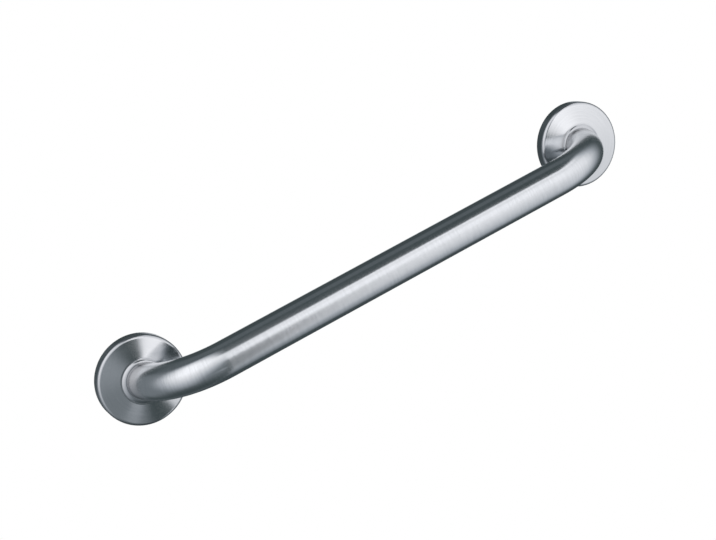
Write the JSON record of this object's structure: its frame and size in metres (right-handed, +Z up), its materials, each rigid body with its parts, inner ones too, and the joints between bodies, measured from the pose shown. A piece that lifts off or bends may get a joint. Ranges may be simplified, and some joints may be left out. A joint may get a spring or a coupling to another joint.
{
  "type": "grab bar",
  "caption": "Straight wall grab bar: a round tube bent to the wall at both ends, with screw flanges hidden under round covers that slide along the tube.",
  "frame": {"origin": "on the wall plane, midway between the two flange centres", "axes": "+X along the bar, +Y into the wall, +Z up"},
  "size_m": [0.5358, 0.0803, 0.0786],
  "materials": {
    "satin_tube": "satin, fine brush lines round the tube",
    "spun_cover": "satin, spun in fine rings",
    "flange_plate": "plain mill finish",
    "weld_metal": "welded bead, lightly tinted by heat"
  },
  "bodies": {
    "bar": {"bar_tube": "satin_tube", "left_mounting_flange": "flange_plate", "left_weld_bead": "weld_metal", "right_mounting_flange": "flange_plate", "right_weld_bead": "weld_metal"},
    "left_cover": {"left_snap_cover": "spun_cover"},
    "right_cover": {"right_snap_cover": "spun_cover"}
  },
  "joints": [
    {"name": "left_cover_travel", "type": "hinge", "parent": "bar", "child": "left_cover", "pos_m": [-0.1676, -0.0035, 0], "axis": [0, 0, 1], "range_deg": [0, 75]},
    {"name": "right_cover_travel", "type": "hinge", "parent": "bar", "child": "right_cover", "pos_m": [0.1676, -0.0035, 0], "axis": [0, 0, -1], "range_deg": [0, 75]}
  ]
}
